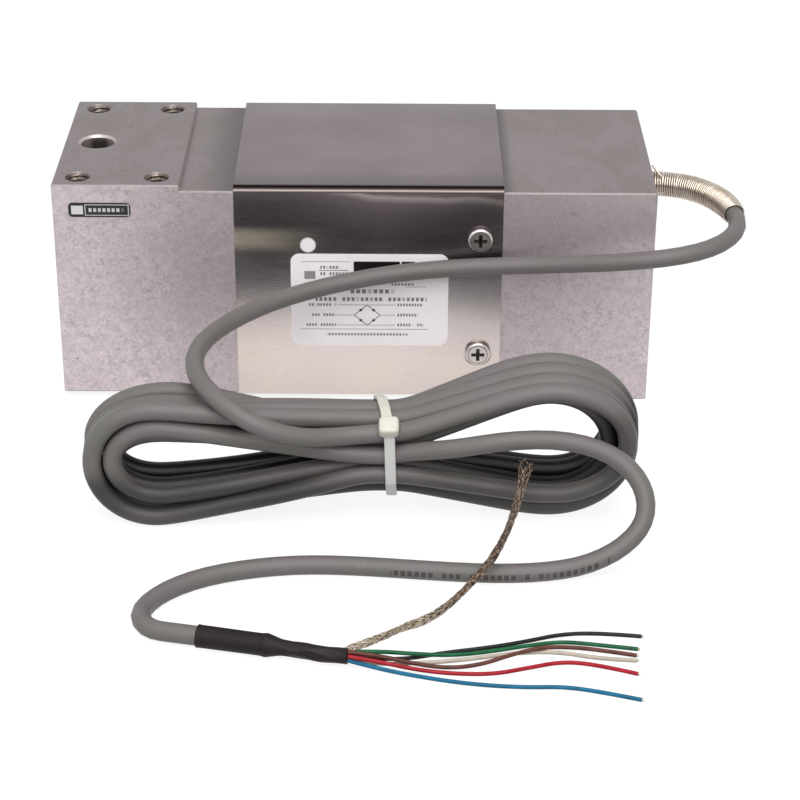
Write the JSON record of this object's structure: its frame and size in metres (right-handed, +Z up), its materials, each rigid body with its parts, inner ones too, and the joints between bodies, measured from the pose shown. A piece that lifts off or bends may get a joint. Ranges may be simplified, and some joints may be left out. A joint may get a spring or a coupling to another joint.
{
  "type": "single point load cell",
  "caption": "Aluminium beam load cell with a flexure window under a folded steel cover, threaded mounting pads and a tied signal cable with bare wire ends.",
  "frame": {"origin": "under the middle of the beam, at the level of its base pad; cable and its pieces not counted", "axes": "+X along the beam from the loaded end to the cable end, +Z up, -Y is the labelled side"},
  "size_m": [0.1743, 0.1949, 0.0591],
  "materials": {
    "beam_aluminium": "machined aluminium, satin, with fine dark specks",
    "cover_steel": "satin stainless sheet",
    "screw_steel": "bright steel",
    "label_white": "satin white film",
    "tag_black": "satin black film with a pale keyline",
    "gauge_foil": "amber film",
    "core_insulation": "twisted cores",
    "potting_silicone": "pale grey silicone",
    "board_laminate": "green laminate",
    "resistor_body": "lacquer",
    "bush_rubber": "black rubber",
    "cable_jacket": "grey PVC, satin",
    "spring_steel": "bright spring wire",
    "tie_nylon": "natural nylon",
    "sleeve_black": "shrunk polyolefin",
    "wire_black": "PVC insulation",
    "wire_green": "PVC insulation",
    "wire_brown": "PVC insulation",
    "wire_white": "PVC insulation",
    "wire_red": "PVC insulation",
    "wire_blue": "PVC insulation",
    "braid_copper": "tinned copper braid"
  },
  "bodies": {
    "root": {"beam": "beam_aluminium", "cover": "cover_steel", "cover_screw_front_upper": "screw_steel", "cover_screw_front_lower": "screw_steel", "cover_screw_back_upper": "screw_steel", "cover_screw_back_lower": "screw_steel", "rating_label": "label_white", "round_sticker": "label_white", "beam_tag": "tag_black", "gauge_top_loaded": "gauge_foil", "gauge_top_fixed": "gauge_foil", "gauge_bottom_loaded": "gauge_foil", "gauge_bottom_fixed": "gauge_foil", "lead_bundle_top": "core_insulation", "lead_bundle_bottom": "core_insulation", "potting_top": "potting_silicone", "potting_bottom": "potting_silicone", "terminal_board": "board_laminate", "board_screw_near": "screw_steel", "board_screw_far": "screw_steel", "resistor_zero": "resistor_body", "resistor_span": "resistor_body", "resistor_input": "resistor_body", "cable_bush": "bush_rubber", "cable_inner": "cable_jacket", "cable_cores": "core_insulation", "spring_sleeve": "spring_steel", "cable_lead": "cable_jacket", "cable_hank": "cable_jacket", "cable_tail": "cable_jacket", "cable_tie": "tie_nylon", "end_sleeve": "sleeve_black", "wire_black": "wire_black", "wire_green": "wire_green", "wire_brown": "wire_brown", "wire_white": "wire_white", "wire_red": "wire_red", "wire_blue": "wire_blue", "shield_braid": "braid_copper"}
  },
  "joints": []
}
